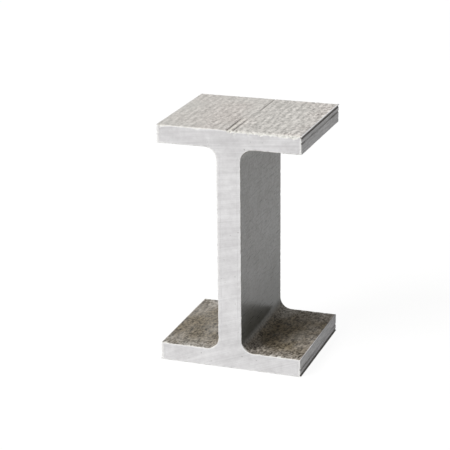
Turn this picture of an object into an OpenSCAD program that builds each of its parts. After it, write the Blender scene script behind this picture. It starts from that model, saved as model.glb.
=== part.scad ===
// Sawn piece of pultruded fibreglass I-beam: one solid of constant section.
// X runs across the flanges, Y along the beam, Z up; the origin is the middle of the underside.

/* [Section] */
// Depth of the section over both flanges
section_depth = 127; // [60:0.5:310]
// Width of each flange
flange_width = 76.2; // [40:0.1:200]
// Thickness of each flange
flange_thickness = 9.5; // [4:0.1:16]
// Thickness of the web
web_thickness = 12.7; // [4:0.1:20]
// Radius of the moulded fillet where the web meets a flange
root_radius = 6.35; // [2:0.05:12]
// Radius of the moulded outer corners of the flange tips
tip_radius = 0.2; // [0.1:0.05:1]

/* [Parting line] */
// Height of the lip the die leaves along the outer corner of each flange tip
lip_height = 0.65; // [0.5:0.05:3]
// How far the lip stands out past the rest of the flange tip
lip_reach = 0.2; // [0.1:0.05:1]
// Width of each of the two shallow flutes along a flange tip, the first of them beside the lip
flute_width = 1; // [0.5:0.1:3]
// Depth of the flutes below the rest of the flange tip
flute_depth = 0.3; // [0.1:0.05:0.8]
// Distance from the outer face of the flange to the middle of the second flute
second_flute_drop = 3.85; // [3:0.05:7]

/* [Length] */
// Length between the two sawn ends
beam_length = 66; // [20:1:3000]

/* [Hidden] */
half_width = flange_width / 2;
half_tip = half_width - lip_reach;
half_web = web_thickness / 2;
half_depth = section_depth / 2;
flute_radius = (flute_width * flute_width / 4 + flute_depth * flute_depth) / (2 * flute_depth);
flute_offset = flute_radius - flute_depth;
flute_undercut = flute_width / 8;
first_flute_drop = lip_height - flute_undercut + flute_width / 2;
corner_overcut = 0.5;
$fn = 48;

// Concave corner piece between two square faces that meet at the origin
module root_fillet() {
    difference() {
        square(root_radius);
        translate([root_radius, root_radius])
            circle(root_radius);
    }
}

// Waste outside a rounded corner that points along +X +Y and has its tip at the origin
module corner_waste() {
    difference() {
        translate([-tip_radius, -tip_radius])
            square(tip_radius + corner_overcut);
        translate([-tip_radius, -tip_radius])
            circle(tip_radius);
    }
}

// Quarter of the section to the right of the web and above mid depth, drawn about the middle
module quarter_section() {
    difference() {
        union() {
            square([half_web, half_depth]);
            translate([0, half_depth - flange_thickness])
                square([half_tip, flange_thickness]);
            translate([0, half_depth - lip_height])
                square([half_width, lip_height]);
            translate([half_web, half_depth - flange_thickness])
                mirror([0, 1])
                    root_fillet();
        }
        translate([half_width, half_depth])
            corner_waste();
        translate([half_tip, half_depth - flange_thickness])
            mirror([0, 1])
                corner_waste();
        for (drop = [first_flute_drop, second_flute_drop])
            translate([half_tip + flute_offset, half_depth - drop])
                circle(flute_radius);
    }
}

// Whole section: the quarter mirrored to the left and then below
module section() {
    for (side = [0, 1])
        for (below = [0, 1])
            mirror([side, 0])
                mirror([0, below])
                    quarter_section();
}

// The beam: the section drawn along Y between the sawn ends, standing on its lower flange
module i_beam() {
    color([0.62, 0.62, 0.60])
        translate([0, 0, half_depth])
            rotate([90, 0, 0])
                linear_extrude(height = beam_length, center = true)
                    section();
}

i_beam();
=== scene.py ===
# %% [markdown]
# # A sawn piece of fibreglass I-beam
# Such a beam is drawn through a hot die: glass strands and mats go in wet with resin at one end, and a
# straight bar of one section comes out at the other. A saw then cuts the bar, so both ends show its pale,
# dry inside. The lesson draws the section once, sweeps it along the beam with Geometry Nodes, presses the
# marks of the strands, the creases and the chipped edges into that surface, and then paints the moulded skin
# and the sawn ends. Lengths are in metres: X runs across the flanges, Y along the beam, and Z up.

# %% Load the frame
import math

import bpy
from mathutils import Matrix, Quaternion, Vector
from mathutils.geometry import delaunay_2d_cdt
from mathutils.kdtree import KDTree


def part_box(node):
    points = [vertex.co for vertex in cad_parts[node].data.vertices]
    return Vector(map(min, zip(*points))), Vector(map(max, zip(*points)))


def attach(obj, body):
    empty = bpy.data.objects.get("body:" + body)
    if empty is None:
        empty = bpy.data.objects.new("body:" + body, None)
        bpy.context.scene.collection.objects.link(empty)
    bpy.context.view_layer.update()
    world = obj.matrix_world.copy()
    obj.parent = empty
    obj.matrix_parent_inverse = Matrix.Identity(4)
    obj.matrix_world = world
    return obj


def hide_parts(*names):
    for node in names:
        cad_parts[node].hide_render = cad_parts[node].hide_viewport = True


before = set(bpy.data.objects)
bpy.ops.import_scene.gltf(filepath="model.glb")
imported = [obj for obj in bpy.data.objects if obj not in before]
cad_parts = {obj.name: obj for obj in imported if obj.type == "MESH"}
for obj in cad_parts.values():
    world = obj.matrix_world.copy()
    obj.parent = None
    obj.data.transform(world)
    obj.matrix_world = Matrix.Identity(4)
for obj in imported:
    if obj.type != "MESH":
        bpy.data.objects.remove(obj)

scene = bpy.context.scene
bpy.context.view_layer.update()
low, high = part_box("i_beam")
half_width = (high[0] - low[0]) / 2
half_length = (high[1] - low[1]) / 2
half_depth = (high[2] - low[2]) / 2
print("beam in mm:", [round(2000 * half, 2) for half in (half_width, half_length, half_depth)])

# %% [markdown]
# ## The camera
# The picture was taken from the front right and a little above, through a long lens, so the beam's edges
# hardly converge. The place, the direction and the lens were worked out from the beam's corners, which
# leaves less than a pixel and a half between any corner and its place in the picture. The camera leans by
# a little more than half a degree.

# %% Camera
camera = bpy.data.objects.new("camera", bpy.data.cameras.new("camera"))
scene.collection.objects.link(camera)
scene.camera = camera
camera.data.sensor_width = 36.0
camera.data.lens = 130.0
camera.location = (0.2575, -0.7587, 0.3389)
sight = Vector((-0.3189, 0.8918, -0.3210))
lean = Quaternion((0, 0, 1), math.radians(-0.59))
camera.rotation_euler = (sight.to_track_quat("-Z", "Y") @ lean).to_euler()
print("camera looks down by", round(math.degrees(-math.asin(sight.normalized().z)), 1), "degrees")

# %% [markdown]
# ## The section
# The die gives every beam the same outline: two flanges, a web, large fillets where they meet, and along
# each flange tip a thin lip and two shallow flutes, where the parts of the die meet. It could be a beveled
# box, but the lip and the flutes follow from a few sizes, so a quarter of the outline is drawn from them in
# lines and arcs and then mirrored twice. Steps are short where the surface later gets narrow creases.

# %% Sizes of the section
flange_thickness = 0.0095
half_web = 0.00635
root_radius = 0.00635
tip_radius = 0.0002
lip_height = 0.00065
lip_reach = 0.0002
flute_width = 0.001
flute_depth = 0.0003
second_flute_drop = 0.00385

half_tip = half_width - lip_reach
inner_face = half_depth - flange_thickness
flute_radius = (flute_width ** 2 / 4 + flute_depth ** 2) / (2 * flute_depth)
flute_x = half_tip + flute_radius - flute_depth
first_flute_z = half_depth - lip_height + flute_width / 8 - flute_width / 2
second_flute_z = half_depth - second_flute_drop
print("clear height between the flanges in mm:", round(2000 * inner_face, 2))


# %% Lines and arcs
def straight(start, end, step):
    """Points along a line, without its end."""
    count = max(1, round(math.dist(start, end) / step))
    return [tuple(a + (b - a) * i / count for a, b in zip(start, end)) for i in range(count)]


def arc(centre, radius, first, last, step):
    """Points along an arc between two angles in radians, without its end."""
    count = max(3, round(abs(last - first) * radius / step))
    angles = [first + (last - first) * i / count for i in range(count)]
    return [(centre[0] + radius * math.cos(a), centre[1] + radius * math.sin(a)) for a in angles]


def quarter_outline(step=0.0005, fine=0.00022, fine_reach=0.0056):
    """The outline from the middle of the top to the middle of the web's right side, fine by the creases."""
    right = 0
    up = math.pi / 2
    left = math.pi
    down = -math.pi / 2
    flute_turn = math.asin(flute_width / 2 / flute_radius)
    lip_turn = math.pi / 2 + math.asin((flute_x - half_width) / flute_radius)
    lip_bottom = first_flute_z + flute_radius * math.sin(lip_turn)
    rib_top = first_flute_z - flute_width / 2
    rib_bottom = second_flute_z + flute_width / 2
    tip_top = second_flute_z - flute_width / 2
    fillet_x = half_web + root_radius
    fillet_z = inner_face - root_radius
    points = straight((0, half_depth), (fine_reach, half_depth), fine)
    points += straight((fine_reach, half_depth), (half_width - tip_radius, half_depth), step)
    points += arc((half_width - tip_radius, half_depth - tip_radius), tip_radius, up, right, step)
    points += straight((half_width, half_depth - tip_radius), (half_width, lip_bottom), step)
    points += arc((flute_x, first_flute_z), flute_radius, lip_turn, left + flute_turn, fine)
    points += straight((half_tip, rib_top), (half_tip, rib_bottom), step)
    points += arc((flute_x, second_flute_z), flute_radius, left - flute_turn, left + flute_turn, fine)
    points += straight((half_tip, tip_top), (half_tip, inner_face + tip_radius), step)
    points += arc((half_tip - tip_radius, inner_face + tip_radius), tip_radius, right, down, step)
    points += straight((half_tip - tip_radius, inner_face), (fillet_x, inner_face), step)
    points += arc((fillet_x, fillet_z), root_radius, up, left, step)
    points += straight((half_web, fillet_z), (half_web, 0), step)
    return points


# %% The whole outline
upper = quarter_outline() + [(half_web, 0.0)]
right_side = upper + [(x, -z) for x, z in reversed(upper[:-1])]
outline = right_side + [(-x, z) for x, z in reversed(right_side[1:-1])]
outward = []
for i in range(len(outline)):
    before = outline[i - 1]
    after = outline[(i + 1) % len(outline)]
    turn = Vector((before[1] - after[1], after[0] - before[0])).normalized()
    outward.append((turn.x, turn.y))
print("outline points:", len(outline))


# %% [markdown]
# ## Filling the section
# A sawn end needs points inside its outline too, so that its rim can chip and its middle can be uneven. One
# large flat face would be simpler, but it couldn't bend. Blender's Delaunay function fills the outline with
# triangles around any points it is given: four rings close to the rim and a field of points in the middle.
# Each point remembers its way out and how far it is from the rim.

# %% Points inside the section
ring_insets = (0.0003, 0.0007, 0.0012, 0.0018)
ring_clearance = 0.8
field_inset = 0.0023
field_step = 0.001


def inside_by(x, z):
    """How far a point lies inside the section; below zero, it is outside."""
    across = half_web + root_radius - abs(x)
    up = abs(z) - inner_face + root_radius
    from_channel = math.hypot(max(across, 0), max(up, 0)) + min(max(across, up), 0) - root_radius
    return min(half_tip - abs(x), half_depth - abs(z), from_channel)


points = list(outline)
for inset in ring_insets:
    ring = [(x - nx * inset, z - nz * inset) for (x, z), (nx, nz) in zip(outline, outward)]
    points += [point for point in ring if inside_by(*point) > ring_clearance * inset]
rows = math.ceil(half_depth / field_step)
columns = math.ceil(half_width / field_step)
for row in range(-rows, rows + 1):
    for column in range(-columns, columns + 1):
        point = ((column + 0.5 * (row % 2)) * field_step, row * field_step)
        if inside_by(*point) > field_inset:
            points.append(point)
print("points in the section:", len(points))

# %% Section mesh
same_point = 1e-7
rim_edges = [(i, (i + 1) % len(outline)) for i in range(len(outline))]
filled, _, triangles, *_ = delaunay_2d_cdt([Vector(p) for p in points], rim_edges, [], 1, same_point)
nearest = KDTree(len(outline))
for i, (x, z) in enumerate(outline):
    nearest.insert((x, z, 0), i)
nearest.balance()
ways_out = []
rim_distances = []
for point in filled:
    at, i, _ = nearest.find((point.x, point.y, 0))
    ways_out += [outward[i][0], 0.0, outward[i][1]]
    rim_distances.append(max(0.0, (at.x - point.x) * outward[i][0] + (at.y - point.y) * outward[i][1]))

section = bpy.data.meshes.new("beam_section")
section.from_pydata([(p.x, 0.0, p.y + half_depth) for p in filled], [], triangles)
section.attributes.new("outward", "FLOAT_VECTOR", "POINT").data.foreach_set("vector", ways_out)
section.attributes.new("rim_distance", "FLOAT", "POINT").data.foreach_set("value", rim_distances)
beam = bpy.data.objects.new("beam", section)
scene.collection.objects.link(beam)
print("section triangles:", len(triangles))


# %% [markdown]
# ## Sums as nodes
# The relief of the beam and the paint on it have to agree: a crest of the relief is paler, a crease is
# darker. Both could be built by hand from nodes, twice. Here a Term stands for a number that a node tree
# works out at every point. Sums written with Terms become Math nodes, in a Geometry Nodes tree and in a
# material alike, so one function can serve both.

# %% Terms
class Term:
    """A number in a node tree; sums with it add Math nodes to the tree."""

    def __init__(self, tree, socket):
        self.tree = tree
        self.socket = socket

    def math(self, operation, *others, first=None):
        """Adds a Math node for this number and the others, or for first and this number."""
        node = self.tree.nodes.new("ShaderNodeMath")
        node.operation = operation
        terms = (self, *others) if first is None else (first, self)
        for slot, term in zip(node.inputs, terms):
            plug(self.tree, slot, term)
        return Term(self.tree, node.outputs[0])

    def __add__(self, other):
        return self.math("ADD", other)

    def __sub__(self, other):
        return self.math("SUBTRACT", other)

    def __rsub__(self, other):
        return self.math("SUBTRACT", first=other)

    def __mul__(self, other):
        return self.math("MULTIPLY", other)

    def __abs__(self):
        return self.math("ABSOLUTE")

    def ramp(self, start, end):
        """0 up to start, 1 from end on, and a smooth step between; start may be above end."""
        node = self.tree.nodes.new("ShaderNodeMapRange")
        node.interpolation_type = "SMOOTHSTEP"
        for name, term in (("Value", self), ("From Min", start), ("From Max", end)):
            plug(self.tree, node.inputs[name], term)
        return Term(self.tree, node.outputs["Result"])


def plug(tree, slot, value):
    """Links a Term or a socket to a node's input, or sets a plain value on it."""
    if isinstance(value, Term):
        value = value.socket
    if isinstance(value, bpy.types.NodeSocket):
        tree.links.new(value, slot)
    else:
        slot.default_value = value


def add(tree, kind, inputs=None, **settings):
    """Adds a node, sets its options and then its inputs, by name or by number."""
    node = tree.nodes.new(kind)
    for name, value in settings.items():
        setattr(node, name, value)
    for name, value in (inputs or {}).items():
        plug(tree, node.inputs[name], value)
    return node


# %% Places and noise
def axes(tree, vector):
    """The three parts of a vector as Terms."""
    node = add(tree, "ShaderNodeSeparateXYZ", {0: vector})
    return [Term(tree, socket) for socket in node.outputs]


def noise(tree, vector, scales, detail=1.0, seed=0.0, roughness=0.5):
    """Soft noise from 0 to 1; scales are its spots per metre along x, y and z."""
    spread = add(tree, "ShaderNodeVectorMath", {0: vector, 1: scales}, operation="MULTIPLY")
    inputs = {"Vector": spread.outputs[0], "W": seed, "Scale": 1.0, "Detail": detail, "Roughness": roughness}
    node = add(tree, "ShaderNodeTexNoise", inputs, noise_dimensions="4D")
    return Term(tree, node.outputs[0])


def variation(*parts):
    """How far noises stand above or below their middle, each times its weight, added up."""
    total = None
    for term, weight in parts:
        part = (term - 0.5) * weight
        total = part if total is None else total + part
    return total


# %% [markdown]
# ## The rule of the surface
# Under the thin skin of resin lie bundles of glass that run along the beam, nearly four millimetres apart.
# They print through as a wave across the beam. Soft noise makes the wave wander, most of all to the front
# right, and noise drawn out along the beam breaks it into strands and lumps. The web is much smoother than
# the flanges. It could all be sculpted, but a rule covers every face at once and the paint can follow it.

# %% Strand print
strand_pitch = 0.00368
strand_seed = 4.0
first_gap = 0.00075
calm_wander = 5.0
wild_wander = 14.0
outer_wave = 0.16
inner_wave = 0.03
streak_share = 0.7
lump_share = 1.6
web_relief = 0.12
top_face = 2 * half_depth


def strand_print(tree, vector):
    """Near 0 between the strands and near 1 over them."""
    x, y, z = axes(tree, vector)
    girth = abs(x + first_gap) + abs(z - half_depth) - half_depth
    front_right = (x * 20.0 - y * 10.0).ramp(0.4, 0.9)
    wander = front_right * wild_wander + calm_wander
    drift = (noise(tree, vector, (60, 35, 60), seed=strand_seed) - 0.5) * wander
    wave = (girth * (2 * math.pi / strand_pitch) + drift).math("COSINE") * -1.0
    streaks = noise(tree, vector, (640, 140, 640), detail=2.0, seed=strand_seed + 1) - 0.5
    lumps = noise(tree, vector, (540, 320, 540), detail=2.0, seed=strand_seed + 2, roughness=0.6) - 0.5
    outer_face = abs(z - half_depth).ramp(half_depth - 0.0020, half_depth - 0.0010)
    taken_up = noise(tree, vector, (70, 110, 70), seed=strand_seed + 3).ramp(0.30, 0.60)
    bundles = wave * taken_up * (outer_face * outer_wave + inner_wave)
    on_flange = abs(z - half_depth).ramp(inner_face - root_radius, inner_face - 0.001)
    relief = on_flange * (1.0 - web_relief) + web_relief
    return (bundles + streaks * streak_share + lumps * lump_share) * relief + 0.5


# %% [markdown]
# ## Creases, a frayed edge and sharp corners
# On the top, three of the gaps between the bundles are drawn into creases, with a crest between the first
# two. They are few and each has its own place, so they are listed one by one, and the distance to the
# nearest one draws them. The saw broke the skin of the top away along its edges, most of all on the right
# half of the front edge. The corners of the flange tips are so sharp that a deep chip would fold them, so
# chips are held back there.

# %% Creases, fray and corners
# Each line: x at its front and at its back, y of its front and of its back, and its strength.
creases = [
    (-0.00080, -0.00070, -0.0400, -0.0050, 1.00),
    (0.00240, 0.00270, -0.0400, -0.0050, 0.80),
    (0.00340, 0.00330, 0.0040, 0.0400, 0.60),
]
crests = [(0.00080, 0.00110, -0.0400, -0.0040, 1.00)]
line_edge = 0.00062
line_core = 0.00018
line_wander = 0.0006
line_fade_front = 0.006
line_fade_back = 0.012
fray_elsewhere = 0.35


def drawn_lines(tree, vector, lines):
    """1 in the middle of any of the given lines of the top face and 0 away from them."""
    x, y, z = axes(tree, vector)
    wander = (noise(tree, vector, (90, 90, 90), seed=7.0) - 0.5) * line_wander
    nearest_line = None
    for front_x, back_x, start, end, strength in lines:
        slope = (back_x - front_x) / (end - start)
        beside = abs(x - front_x - (y - start) * slope + wander)
        begun = y.ramp(start, start + line_fade_front)
        ended = y.ramp(end, end - line_fade_back)
        mark = beside.ramp(line_edge, line_core) * begun * ended * strength
        nearest_line = mark if nearest_line is None else nearest_line.math("MAXIMUM", mark)
    return nearest_line * z.ramp(top_face - 0.0012, top_face - 0.0008)


def frayed(tree, vector):
    """1 along the right half of the top's front edge, where the saw broke most away, and less elsewhere."""
    x, y, z = axes(tree, vector)
    right_half = x.ramp(-0.0040, 0.0000)
    left_part = x.ramp(-0.0100, -0.0140) * fray_elsewhere + x.ramp(-0.0300, -0.0360) * fray_elsewhere
    front = right_half.math("MAXIMUM", left_part) * y.ramp(0.0, -0.0200)
    back = y.ramp(0.0, 0.0200) * fray_elsewhere
    off_tip = abs(x).ramp(half_tip, half_tip - 0.0020)
    return front.math("MAXIMUM", back) * off_tip * z.ramp(top_face - 0.0100, top_face - 0.0040)


def tip_corner(tree, vector):
    """1 at the sharp corners of the flange tips, where a deep chip would fold the surface, or else 0."""
    x, _, z = axes(tree, vector)
    drop = half_depth - abs(z - half_depth)
    from_face = drop.math("MINIMUM", abs(drop - flange_thickness))
    return abs(x).ramp(half_tip - 0.0010, half_tip - 0.0004) * from_face.ramp(0.0010, 0.0004)


print("creases:", len(creases), "crests:", len(crests))

# %% [markdown]
# ## The beam as a node tree
# A beam has one section all along, so its shape follows a rule. Geometry Nodes sweep the rim of the filled
# section along a line, close both ends with the filled section itself, and merge the seams. Rings crowd
# together towards the ends, where the saw chipped the edges. Then one Set Position presses the strands and
# creases inwards and breaks the edges, so the beam never grows past its frame.

# %% Tree inputs
tree = bpy.data.node_groups.new("pultruded_beam", "GeometryNodeTree")
beam_inputs = {}
for name, kind, value in (
    ("Section", "NodeSocketGeometry", None),
    ("Half length", "NodeSocketFloat", half_length),
    ("Rings", "NodeSocketInt", 62),
    ("Strand depth", "NodeSocketFloat", 0.00010),
    ("Crease depth", "NodeSocketFloat", 0.00028),
    ("Chip size", "NodeSocketFloat", 0.0006),
    ("Saw unevenness", "NodeSocketFloat", 0.00008),
    ("Seed", "NodeSocketFloat", 11.0),
    ("Skin", "NodeSocketMaterial", bpy.data.materials.new("moulded_skin")),
    ("Sawn", "NodeSocketMaterial", bpy.data.materials.new("sawn_end")),
):
    beam_inputs[name] = (tree.interface.new_socket(name, in_out="INPUT", socket_type=kind), value)
tree.interface.new_socket("Beam", in_out="OUTPUT", socket_type="NodeSocketGeometry")
given = add(tree, "NodeGroupInput").outputs
print("tree inputs:", ", ".join(beam_inputs))


# %% Attributes
def stored(name, kind="FLOAT"):
    """Reads an attribute of the mesh by name."""
    return add(tree, "GeometryNodeInputNamedAttribute", {"Name": name}, data_type=kind).outputs[0]


def store(geometry, name, value, kind="FLOAT", domain="POINT"):
    """Writes an attribute to the mesh and hands the mesh on."""
    inputs = {"Geometry": geometry, "Name": name, "Value": value}
    return add(tree, "GeometryNodeStoreNamedAttribute", inputs, data_type=kind, domain=domain).outputs[0]


def join(*parts):
    """Joins pieces of geometry."""
    node = add(tree, "GeometryNodeJoinGeometry")
    for part in parts:
        tree.links.new(part, node.inputs[0])
    return node.outputs[0]


# %% Sweep and ends
crowding = 0.2
seam_gap = 0.00001
here = add(tree, "GeometryNodeInputPosition").outputs[0]
drawn = store(given["Section"], "drawn", here, "FLOAT_VECTOR")
reach = Term(tree, given["Half length"])

faces_beside = add(tree, "GeometryNodeInputMeshEdgeNeighbors").outputs["Face Count"]
on_rim = Term(tree, faces_beside).math("COMPARE", 1.0, 0.1)
rim_curve = add(tree, "GeometryNodeMeshToCurve", {"Mesh": drawn, "Selection": on_rim}).outputs[0]
line = add(tree, "GeometryNodeCurvePrimitiveLine", {"Start": (0, -1, 0), "End": (0, 1, 0)}).outputs[0]
ring_count = {"Curve": line, "Count": given["Rings"]}
rings = add(tree, "GeometryNodeResampleCurve", ring_count, mode="COUNT").outputs[0]
evenly = axes(tree, here)[1]
crowded = evenly * (1.0 + crowding) - evenly * evenly.math("POWER", 4.0) * crowding
rings = store(rings, "along", crowded * reach)
skin = add(tree, "GeometryNodeCurveToMesh", {"Curve": rings, "Profile Curve": rim_curve}).outputs[0]

front_end = store(drawn, "along", reach * -1.0)
back_end = add(tree, "GeometryNodeFlipFaces", {"Mesh": store(drawn, "along", reach)}).outputs[0]
ends = store(join(front_end, back_end), "sawn", 1.0, domain="FACE")
whole = join(skin, ends)

across, _, up = axes(tree, stored("drawn", "FLOAT_VECTOR"))
swept = add(tree, "ShaderNodeCombineXYZ", {"X": across, "Y": stored("along"), "Z": up}).outputs[0]
whole = add(tree, "GeometryNodeSetPosition", {"Geometry": whole, "Position": swept}).outputs[0]
whole = add(tree, "GeometryNodeMergeByDistance", {"Geometry": whole, "Distance": seam_gap}).outputs[0]
print("nodes for the sweep:", len(tree.nodes))

# %% Relief and chips
touching = 0.000001
least_chip = 0.00015
fray_depth = 1.5
fray_roughness = 1.8
corner_guard = 0.7
along = axes(tree, here)[1]
rim_distance = Term(tree, stored("rim_distance"))
end_distance = reach - abs(along)
on_skin = rim_distance.math("LESS_THAN", touching)
on_end = end_distance.math("LESS_THAN", touching)

strands = strand_print(tree, here).ramp(1.0, 0.0) * (1.0 - drawn_lines(tree, here, crests))
pressed = strands * Term(tree, given["Strand depth"])
pressed = pressed + drawn_lines(tree, here, creases) * Term(tree, given["Crease depth"])
ragged = noise(tree, here, (520, 520, 520), detail=3.0, seed=given["Seed"], roughness=0.65).ramp(0.42, 0.80)
fray = frayed(tree, here)
broken = (ragged * (fray * fray_roughness + 1.0) + fray * fray_depth) * Term(tree, given["Chip size"])
chip = (broken + least_chip - end_distance - rim_distance).math("MAXIMUM", 0.0)
chip = chip * (1.0 - tip_corner(tree, here) * corner_guard)
uneven = noise(tree, here, (60, 60, 240), seed=3.0) * Term(tree, given["Saw unevenness"])

inward = (pressed * on_skin + chip * 0.5) * -1.0
back_in = (uneven * on_end + chip * 0.5) * along.math("SIGN") * -1.0
way_in = {0: stored("outward", "FLOAT_VECTOR"), "Scale": inward}
sideways = add(tree, "ShaderNodeVectorMath", way_in, operation="SCALE").outputs[0]
lengthways = add(tree, "ShaderNodeCombineXYZ", {"Y": back_in}).outputs[0]
move = add(tree, "ShaderNodeVectorMath", {0: sideways, 1: lengthways}, operation="ADD").outputs[0]
whole = store(whole, "chip", chip.ramp(0.00002, 0.00030))
whole = add(tree, "GeometryNodeSetPosition", {"Geometry": whole, "Offset": move}).outputs[0]
print("nodes with the relief:", len(tree.nodes))

# %% Shading, materials and the finished tree
sharp_angle = math.radians(38)
edge_angle = add(tree, "GeometryNodeInputMeshEdgeAngle").outputs["Unsigned Angle"]
rounded = Term(tree, edge_angle).math("LESS_THAN", sharp_angle)
smooth = {"Geometry": whole, "Shade Smooth": rounded}
whole = add(tree, "GeometryNodeSetShadeSmooth", smooth, domain="EDGE").outputs[0]
whole = add(tree, "GeometryNodeRealizeInstances", {"Geometry": whole}).outputs[0]
whole = add(tree, "GeometryNodeSetMaterial", {"Geometry": whole, "Material": given["Skin"]}).outputs[0]
sawn_faces = {"Geometry": whole, "Selection": stored("sawn"), "Material": given["Sawn"]}
whole = add(tree, "GeometryNodeSetMaterial", sawn_faces).outputs[0]
for name in ("drawn", "along", "outward", "rim_distance", "sawn"):
    whole = add(tree, "GeometryNodeRemoveAttribute", {"Geometry": whole, "Name": name}).outputs[0]
tree.links.new(whole, add(tree, "NodeGroupOutput").inputs[0])
print("nodes in the whole tree:", len(tree.nodes))

# %% Make the beam a plain mesh
sweep = beam.modifiers.new("sweep", "NODES")
sweep.node_group = tree
for socket, value in beam_inputs.values():
    if value is not None:
        sweep[socket.identifier] = value
finished = bpy.data.meshes.new_from_object(beam.evaluated_get(bpy.context.evaluated_depsgraph_get()))
beam.modifiers.clear()
beam.data = finished
while None in list(finished.materials):
    finished.materials.pop(index=list(finished.materials).index(None))
finished.name = "beam"
bpy.data.meshes.remove(section)
triangle_count = sum(len(face.vertices) - 2 for face in finished.polygons)
print("beam triangles:", triangle_count, "materials:", [slot.name for slot in finished.materials])


# %% [markdown]
# ## The moulded skin
# The skin is a grey resin over glass: paler over the strands, darker between them, with fine hairs along the
# beam, specks, and slow changes of tint. It is calmer on the left of the top than on the right. It could be
# one grey, but the print of the glass is what tells this material from painted steel. The paint reads the
# same functions as the relief, from Object coordinates, so the two always agree.

# %% Paint helpers
def paint(red, green, blue):
    """A colour given as it looks on a screen, 0 to 255, turned to the linear values of a material."""
    parts = [value / 255 for value in (red, green, blue)]
    return tuple(p / 12.92 if p <= 0.04045 else ((p + 0.055) / 1.055) ** 2.4 for p in parts) + (1.0,)


def blend(tree, amount, first, second):
    """A colour between two others."""
    node = add(tree, "ShaderNodeMix", {0: amount, 6: first, 7: second}, data_type="RGBA")
    return node.outputs[2]


def start_material(name):
    """Gives a material its nodes; returns the tree, the shader and Object coordinates."""
    material = bpy.data.materials[name]
    material.use_nodes = True
    nodes = material.node_tree
    shader = nodes.nodes["Principled BSDF"]
    place = add(nodes, "ShaderNodeTexCoord").outputs["Object"]
    return nodes, shader, place


def chip_mark(tree):
    """How far the edge is chipped, 0 to 1, from the attribute that the relief wrote."""
    return Term(tree, add(tree, "ShaderNodeAttribute", attribute_name="chip").outputs["Fac"])


# %% Skin: strands, hairs and tint
between_strands = paint(118, 111, 106)
over_strands = paint(245, 239, 233)
cloud_grey = paint(198, 199, 194)
left_grey = paint(199, 200, 195)
calm_contrast = 0.90
added_contrast = 0.75
cloud_share = 0.35
left_share = 0.25

nodes, shader, place = start_material("moulded_skin")
x, y, z = axes(nodes, place)
strand = strand_print(nodes, place)
hairs = noise(nodes, place, (1300, 90, 1300), detail=2.0, seed=2.0, roughness=0.6)
specks = noise(nodes, place, (900, 700, 900), detail=2.0, seed=5.0, roughness=0.6)
cloud = noise(nodes, place, (30, 22, 30), detail=2.0, seed=9.0)

contrast = x.ramp(-0.0050, 0.0100) * added_contrast + calm_contrast
tone = variation((strand, 0.7), (hairs, 0.7), (specks, 1.4)) * contrast + 0.5
colour = blend(nodes, tone.ramp(-0.4, 1.4), between_strands, over_strands)
colour = blend(nodes, cloud.ramp(0.42, 0.62) * cloud_share, colour, cloud_grey)
colour = blend(nodes, x.ramp(-0.0080, -0.0300) * left_share, colour, left_grey)
print("skin nodes:", len(nodes.nodes))

# %% [markdown]
# ## The web
# The web leaves the die smoother than the flanges. It is painted a duller grey than the flanges, as painted
# shade, for it stands in the shade of both flanges, and it is scuffed in soft patches. It is glossy enough
# to mirror the lower flange at a shallow angle, as a dark triangle at its foot. That triangle could be
# painted, but a mirrored shape moves with the viewer, so it is left to the shader, with less roughness and
# hardly any strands in the bump.

# %% Skin: the web
# Both greys of the web are darker than the flanges' grey: painted shade, with scuffed patches between them.
scuffed_and_shaded_grey = paint(124, 123, 119)
smooth_and_shaded_grey = paint(172, 173, 174)
web_share = 0.85

on_web = abs(z - half_depth).ramp(inner_face - 0.001, inner_face - root_radius)
patches = noise(nodes, place, (110, 90, 90), detail=3.0, seed=13.0, roughness=0.6)
scuffs = noise(nodes, place, (240, 280, 300), detail=3.0, seed=14.0, roughness=0.65)
worn_web = (variation((patches, 0.9), (scuffs, 0.8), (specks, 1.1)) + 0.5).ramp(0.0, 1.0)
colour = blend(nodes, on_web * web_share, colour, blend(nodes, worn_web, scuffed_and_shaded_grey, smooth_and_shaded_grey))
print("skin nodes with the web:", len(nodes.nodes))

# %% [markdown]
# ## The lower channel
# The lower flange, on both sides of the web and up into the fillets, lies in the shade of the top flange, so
# the skin is painted brown and mottled there as painted shade, darker on the right, and the foot of the web
# is painted darker as painted shade. Towards the sawn ends, where more light reaches in, less of this shade
# is painted. A node for ambient occlusion could find such hollows, but ramps of the height and of the
# distance from the web find the same places with less to work out.

# %% Skin: the lower channel
# These two browns are painted shade for the channel under the top flange.
dark_channel_shade = paint(30, 26, 18)
light_channel_shade = paint(140, 128, 107)
# This grey is painted shade for the foot of the web.
web_foot_shade_grey = paint(78, 78, 72)
channel_shade_top = 0.0200
channel_shade_full = 0.0110
foot_shade_top = 0.080
foot_shade_full = 0.010
foot_shade_share = 0.80
least_channel_shade = 0.55
patchy_channel_shade = 0.35
right_channel_shade = 0.10
lit_end_reach = 0.016
lit_end_share = 0.35

above_flange = z.ramp(flange_thickness - 0.0011, flange_thickness - 0.0003)
beside_web = abs(x).ramp(half_web - 0.0005, half_web + 0.002)
in_channel = beside_web * z.ramp(channel_shade_top, channel_shade_full) * above_flange
shade_patches = noise(nodes, place, (60, 40, 60), detail=2.0, seed=6.0, roughness=0.6).ramp(0.25, 0.60)
# The channel's painted shade comes in patches and is deeper on the right, the side in shade.
channel_shade = shade_patches * patchy_channel_shade + x.ramp(-0.01, 0.01) * right_channel_shade + least_channel_shade
mottle = (variation((strand, 0.5), (specks, 1.9), (hairs, 0.6)) + 0.5).ramp(0.0, 1.0)
shaded_brown = blend(nodes, mottle, dark_channel_shade, light_channel_shade)
# The foot of the web is painted darker towards the bottom, as painted shade.
foot_shade = z.ramp(foot_shade_top, foot_shade_full).math("POWER", 2.0) * above_flange
colour = blend(nodes, foot_shade * (1.0 - in_channel) * foot_shade_share, colour, web_foot_shade_grey)
end_distance = half_length - abs(y)
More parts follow.
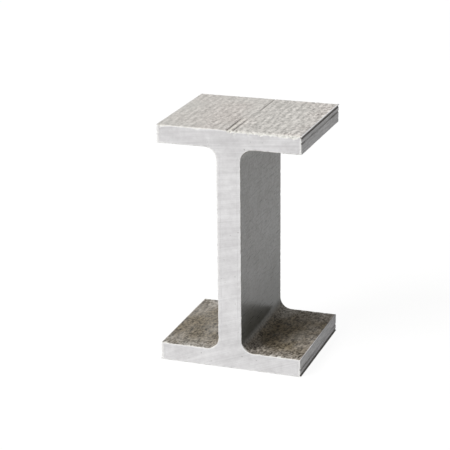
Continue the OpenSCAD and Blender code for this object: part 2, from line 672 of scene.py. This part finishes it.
# Near the sawn ends less shade is painted, in specks, where more light reaches into the channel.
lit_ends = end_distance.ramp(lit_end_reach, 0.0) * specks.ramp(0.40, 0.60) * lit_end_share
colour = blend(nodes, in_channel * (channel_shade - lit_ends), colour, shaded_brown)
print("skin nodes with the channel:", len(nodes.nodes))

# %% [markdown]
# ## Tips, creases and torn edges
# The flange tips are painted pale and streaked, most of all those on the right: painted light, lifting the
# tips, which stand in shade. Their flutes and the creases of the top are painted dark as painted shade, and
# the crest between the first two creases is painted pale as a painted highlight. Beside a sawn end the skin
# is torn off the glass and shows white. The colours could be drawn by hand over an unwrapped map, but they
# belong where the geometry has these marks, so the paint uses the same sizes and lines, and the chips come
# as an attribute.

# %% Skin: tips and creases
# These two pale greys are painted light for the flange tips.
lit_tip_dull = paint(218, 218, 220)
lit_tip_bright = paint(252, 252, 255)
first_flute_shade = paint(78, 71, 62)
second_flute_shade = paint(104, 99, 92)
crest_highlight = paint(232, 227, 216)
crease_shade = paint(82, 75, 66)
tip_light_least = 0.30
tip_light_on_right = 0.45
flute_share = 0.90
crest_share = 0.60
crease_share = 0.75

drop = half_depth - abs(z - half_depth)
on_tip = abs(x).ramp(half_tip - 0.0006, half_tip - 0.0003)
lit_tip = blend(nodes, hairs.ramp(0.30, 0.70), lit_tip_dull, lit_tip_bright)
# The tips are painted paler as painted light, most of all on the right.
tip_light_share = x.ramp(-0.01, 0.01) * tip_light_on_right + tip_light_least
colour = blend(nodes, on_tip * tip_light_share, colour, lit_tip)
first_flute = abs(drop - (half_depth - first_flute_z)).ramp(0.00095, 0.00045) * on_tip
second_flute = abs(drop - second_flute_drop).ramp(0.00085, 0.00035) * on_tip
second_flute = second_flute * noise(nodes, place, (40, 40, 40), seed=12.0).ramp(0.30, 0.60)
# The flutes are painted darker, as painted shade in these grooves.
colour = blend(nodes, first_flute * flute_share, colour, first_flute_shade)
colour = blend(nodes, second_flute * flute_share, colour, second_flute_shade)
# The crest is painted paler, as a painted highlight.
colour = blend(nodes, drawn_lines(nodes, place, crests) * crest_share, colour, crest_highlight)
# The creases are painted darker, as painted shade in the grooves.
colour = blend(nodes, drawn_lines(nodes, place, creases) * crease_share, colour, crease_shade)
print("skin nodes with the tips:", len(nodes.nodes))

# %% Skin: torn edges and gloss
torn_white = paint(232, 230, 224)
torn_least = 0.0016
torn_by_fray = 0.0012
torn_in_channel = 0.0022
torn_share = 0.55
torn_share_in_channel = 0.30
plain_roughness = 0.46
hair_roughness = 0.2
channel_roughness = 0.25
web_polish = 0.21
web_hair_loss = 0.14

torn_reach = in_channel * torn_in_channel + frayed(nodes, place) * torn_by_fray + torn_least
tatters = noise(nodes, place, (460, 200, 460), detail=3.0, seed=8.0, roughness=0.7).ramp(0.42, 0.80)
torn = (tatters * torn_reach - end_distance).ramp(-0.0002, 0.0010)
white = torn.math("MAXIMUM", chip_mark(nodes))
colour = blend(nodes, white * (in_channel * torn_share_in_channel + torn_share), colour, torn_white)

height = strand * 0.5 + hairs * 0.2 + specks * 0.35
height = height * (1.0 - on_web * 0.95) + scuffs * on_web * 0.5
bump = add(nodes, "ShaderNodeBump", {"Height": height, "Strength": 0.5, "Distance": 0.00014})
roughness = hairs * (hair_roughness - on_web * web_hair_loss) + in_channel * channel_roughness
roughness = roughness + plain_roughness - on_web * web_polish
plug(nodes, shader.inputs["Base Color"], colour)
plug(nodes, shader.inputs["Roughness"], roughness)
shader.inputs["Specular IOR Level"].default_value = 0.15
plug(nodes, shader.inputs["Normal"], bump.outputs[0])
print("skin nodes in all:", len(nodes.nodes))

# %% [markdown]
# ## The sawn ends
# The saw leaves dry glass ends and resin dust, so an end is much paler than the skin. Its teeth leave fine
# lines, nearly level at the top and slanting more towards the foot, the layers of mat show as a thin line
# a little way in from the outline, and a few pores are open. The thin line could be a curve of its own, but
# the distance to the outline that filled the section, written once more as nodes, gives it everywhere.

# %% Sawn ends: distance to the outline
nodes, shader, place = start_material("sawn_end")
x, y, z = axes(nodes, place)
across = half_web + root_radius - abs(x)
up = abs(z - half_depth) - (inner_face - root_radius)
round_part = across.math("MAXIMUM", 0.0).math("POWER", 2.0) + up.math("MAXIMUM", 0.0).math("POWER", 2.0)
flat_part = across.math("MAXIMUM", up).math("MINIMUM", 0.0)
from_channel = round_part.math("SQRT") + flat_part - root_radius
from_tip = half_tip - abs(x)
depth_in = from_tip.math("MINIMUM", half_depth - abs(z - half_depth)).math("MINIMUM", from_channel)
print("sawn end nodes for the distance:", len(nodes.nodes))

# %% Sawn ends: saw lines, layers and pores
foot_slant = 0.40
slant_loss = 2.6
saw_height = z - x * (foot_slant - z * slant_loss)
saw_path = add(nodes, "ShaderNodeCombineXYZ", {"X": x, "Y": y, "Z": saw_height}).outputs[0]
lines = noise(nodes, saw_path, (32, 32, 1300), detail=2.0, seed=1.0, roughness=0.6)
bands = noise(nodes, saw_path, (30, 30, 260), detail=2.0, seed=2.0, roughness=0.6)
bundles = noise(nodes, place, (420, 420, 420), detail=2.0, seed=3.0, roughness=0.6)
blotches = noise(nodes, place, (75, 75, 75), detail=2.0, seed=6.0, roughness=0.6)
layer_depth = noise(nodes, place, (90, 90, 90), seed=4.0) * 0.0010 + 0.0014
in_web = abs(z - half_depth).ramp(inner_face, inner_face - root_radius)
at_tip = abs(x).ramp(half_tip - 0.006, half_tip - 0.004)
layer = abs(depth_in - layer_depth).ramp(0.00045, 0.00012) * bundles.ramp(0.40, 0.58)
layer = layer * in_web.math("MAXIMUM", at_tip)
pores = noise(nodes, place, (520, 520, 520), seed=5.0).ramp(0.69, 0.77)
print("sawn end nodes with the saw lines:", len(nodes.nodes))

# %% Sawn ends: colour and shader
sawn_dull = paint(204, 202, 203)
sawn_pale = paint(244, 243, 244)
layer_grey = paint(160, 158, 156)
pore_grey = paint(140, 136, 132)
rim_white = paint(248, 247, 245)
frayed_white = paint(222, 221, 215)
middle_tone = 0.54
top_end_shade = 0.16
layer_share = 0.18
pore_share = 0.5
rim_share = 0.8
frayed_share = 0.9

tone = variation((lines, 0.55), (bands, 0.75), (bundles, 0.5), (blotches, 0.6)) + middle_tone
# The end of the top flange is painted a little darker, as painted shade.
tone = tone - z.ramp(top_face - 0.0150, top_face - 0.0070) * top_end_shade
colour = blend(nodes, tone.ramp(0.0, 1.0), sawn_dull, sawn_pale)
colour = blend(nodes, layer * layer_share, colour, layer_grey)
colour = blend(nodes, pores * pore_share, colour, pore_grey)
chipped = chip_mark(nodes)
rim = depth_in.ramp(0.0009, 0.0003).math("MAXIMUM", from_tip.ramp(0.0014, 0.0008))
rim = (rim * bundles.ramp(0.28, 0.50)).math("MAXIMUM", chipped)
colour = blend(nodes, rim * rim_share, colour, rim_white)
colour = blend(nodes, chipped * frayed(nodes, place) * frayed_share, colour, frayed_white)

height = lines * 0.3 + bands * 0.2 + bundles * 0.4 - pores * 0.6
bump = add(nodes, "ShaderNodeBump", {"Height": height, "Strength": 0.4, "Distance": 0.00012})
plug(nodes, shader.inputs["Base Color"], colour)
shader.inputs["Roughness"].default_value = 0.8
shader.inputs["Specular IOR Level"].default_value = 0.25
plug(nodes, shader.inputs["Normal"], bump.outputs[0])
print("sawn end nodes in all:", len(nodes.nodes))

# %% [markdown]
# ## Floor and light
# The picture has a bright white ground and light from the front left and above, so the right side of the
# web is in shade. More light on the floor would bleach the beam too. So a ray from the camera, or one that
# a glossy face sends on, meets a floor that is mostly white light and keeps a soft shadow, and every other
# ray meets a plain pale floor. One large lamp and a dim sky light the beam, and a weak lamp behind it, kept
# out of reflections, lifts the far end.

# %% Floor
floor_half = 3.0
floor_pale = (0.45, 0.45, 0.44, 1.0)
floor_glow = 1.17
glow_share = 0.80


def looked_at(tree):
    """1 for a ray from the camera, a mirror or a glass, and 0 for a ray that only carries light."""
    rays = add(tree, "ShaderNodeLightPath").outputs
    seen = Term(tree, rays["Is Camera Ray"])
    for name in ("Is Glossy Ray", "Is Transmission Ray"):
        seen = seen.math("MAXIMUM", Term(tree, rays[name]))
    return seen


ground = bpy.data.materials.new("floor")
ground.use_nodes = True
nodes = ground.node_tree
nodes.nodes.clear()
pale = add(nodes, "ShaderNodeBsdfDiffuse", {"Color": floor_pale}).outputs[0]
bright = add(nodes, "ShaderNodeEmission", {"Strength": floor_glow}).outputs[0]
mix = add(nodes, "ShaderNodeMixShader", {0: looked_at(nodes) * glow_share, 1: pale, 2: bright}).outputs[0]
add(nodes, "ShaderNodeOutputMaterial", {"Surface": mix})

floor_mesh = bpy.data.meshes.new("floor")
floor_corners = [(x * floor_half, y * floor_half, 0) for x, y in ((-1, -1), (1, -1), (1, 1), (-1, 1))]
floor_mesh.from_pydata(floor_corners, [], [(0, 1, 2, 3)])
floor_mesh.materials.append(ground)
floor = bpy.data.objects.new("floor", floor_mesh)
scene.collection.objects.link(floor)
print("floor:", 2 * floor_half, "m wide")

# %% Sky and lamps
sky_light = 0.22
aim = Vector((0, 0, 0.06))
lamps = (
    ("softbox", 2.4, 205.0, (-2.1, -2.6, 3.0)),
    ("fill", 2.0, 45.0, (-1.2, 3.2, 0.9)),
)

sky = bpy.data.worlds.new("sky")
scene.world = sky
sky.use_nodes = True
nodes = sky.node_tree
backdrop = nodes.nodes["Background"]
backdrop.inputs["Color"].default_value = (1.0, 1.0, 1.0, 1.0)
plug(nodes, backdrop.inputs["Strength"], looked_at(nodes) * (1.0 - sky_light) + sky_light)

for name, size, energy, spot in lamps:
    lamp = bpy.data.objects.new(name, bpy.data.lights.new(name, "AREA"))
    scene.collection.objects.link(lamp)
    lamp.visible_glossy = name != "fill"
    lamp.data.shape = "DISK"
    lamp.data.size = size
    lamp.data.energy = energy
    lamp.location = spot
    lamp.rotation_euler = (aim - lamp.location).to_track_quat("-Z", "Y").to_euler()
    print(name, "stands", round((lamp.location - aim).length, 2), "m away")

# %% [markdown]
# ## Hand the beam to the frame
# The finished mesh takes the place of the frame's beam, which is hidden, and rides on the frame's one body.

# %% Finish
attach(beam, "root")
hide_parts("i_beam")

scene.view_settings.view_transform = "Standard"
